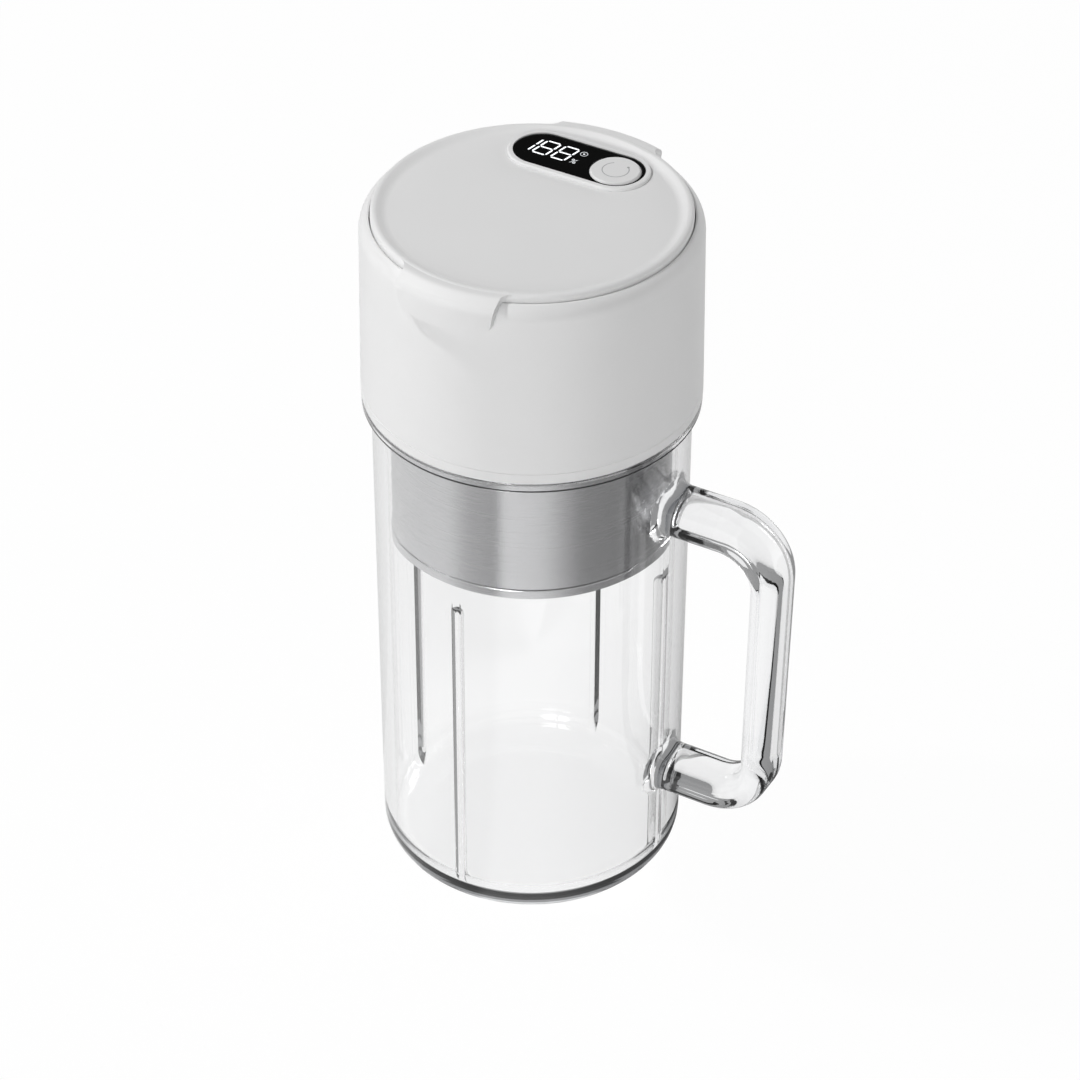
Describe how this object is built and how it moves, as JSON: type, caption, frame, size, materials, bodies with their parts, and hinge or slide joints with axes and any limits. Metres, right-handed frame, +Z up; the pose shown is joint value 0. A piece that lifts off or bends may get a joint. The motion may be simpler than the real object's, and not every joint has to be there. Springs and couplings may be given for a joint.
{
  "type": "portable mug blender",
  "caption": "Battery blender with a motor head, steel blade skirt and top display, standing on a clear ribbed jar with a loop handle.",
  "frame": {"origin": "centre of the jar's flat base", "axes": "+Z up along the blade spindle, +X towards the handle, the display at +Y on top"},
  "size_m": [0.1152, 0.0874, 0.1953],
  "materials": {
    "clear_jar": "clear polished copolyester",
    "silicone": "translucent soft silicone",
    "silicone_white": "matt soft silicone",
    "white_shell": "satin moulded",
    "white_cover": "satin moulded",
    "grey_plastic": "moulded",
    "black_plastic": "moulded",
    "plated_steel": "zinc plated",
    "stainless": "brushed",
    "bronze": "sintered",
    "copper": "enamelled wire",
    "seal_rubber": "moulded",
    "magnet": "ferrite",
    "carbon": "pressed",
    "cell_wrap": "shrink sleeve",
    "circuit_board": "solder mask",
    "display_black": "gloss window",
    "button_grey": "satin"
  },
  "bodies": {
    "jar": {"jar": "clear_jar", "jar_handle": "clear_jar"},
    "gasket": {"jar_gasket": "silicone"},
    "rotor": {"motor_shaft": "plated_steel", "armature_core": "plated_steel", "armature_windings": "copper", "commutator": "copper", "drive_coupling": "bronze", "blade_spindle": "stainless", "blade_hub": "grey_plastic", "upper_blade": "stainless", "blade_spacer": "stainless", "lower_blade": "stainless", "lock_nut": "stainless"},
    "button": {"power_button": "button_grey", "switch_plunger": "black_plastic"},
    "port_flap": {"port_seal": "silicone_white"},
    "head": {"base_ring": "white_shell", "head_housing": "white_shell", "motor_base": "grey_plastic", "base_screws": "plated_steel", "steel_skirt": "stainless", "skirt_screws": "stainless", "bearing_housing": "grey_plastic", "bush_upper": "bronze", "bush_lower": "bronze", "shaft_seal": "seal_rubber", "motor_can": "plated_steel", "motor_end_cap": "black_plastic", "motor_bush_front": "bronze", "motor_bush_rear": "bronze", "motor_magnets": "magnet", "motor_brushes": "carbon", "motor_screws": "plated_steel", "battery_cell_left": "cell_wrap", "battery_cell_right": "cell_wrap", "cell_holder": "black_plastic", "charge_board": "circuit_board", "usb_socket": "plated_steel", "top_cover": "white_cover", "display_bezel": "white_cover", "display_window": "display_black", "tact_switch": "black_plastic", "display_board": "circuit_board", "display_module": "black_plastic", "board_screws": "plated_steel"}
  },
  "joints": [
    {"name": "head_lift", "type": "slide", "parent": "jar", "child": "gasket", "axis": [0, 0, 1], "range_m": [0, 0.15]},
    {"name": "head_twist", "type": "hinge", "parent": "gasket", "child": "head", "pos_m": [0, 0, 0.15], "axis": [0, 0, 1], "range_deg": [0, 30]},
    {"name": "rotor_spin", "type": "hinge", "parent": "head", "child": "rotor", "pos_m": [0, 0, 0.13], "axis": [0, 0, 1], "continuous": true},
    {"name": "button_press", "type": "slide", "parent": "head", "child": "button", "axis": [0, 0, -1], "range_m": [0, 0.0006], "stiffness_N_per_m": 800, "springref_m": -0.0008},
    {"name": "port_flap_open", "type": "hinge", "parent": "head", "child": "port_flap", "pos_m": [0.0089, 0.0418, 0.165], "axis": [0, 0, -1], "range_deg": [0, 110]}
  ]
}
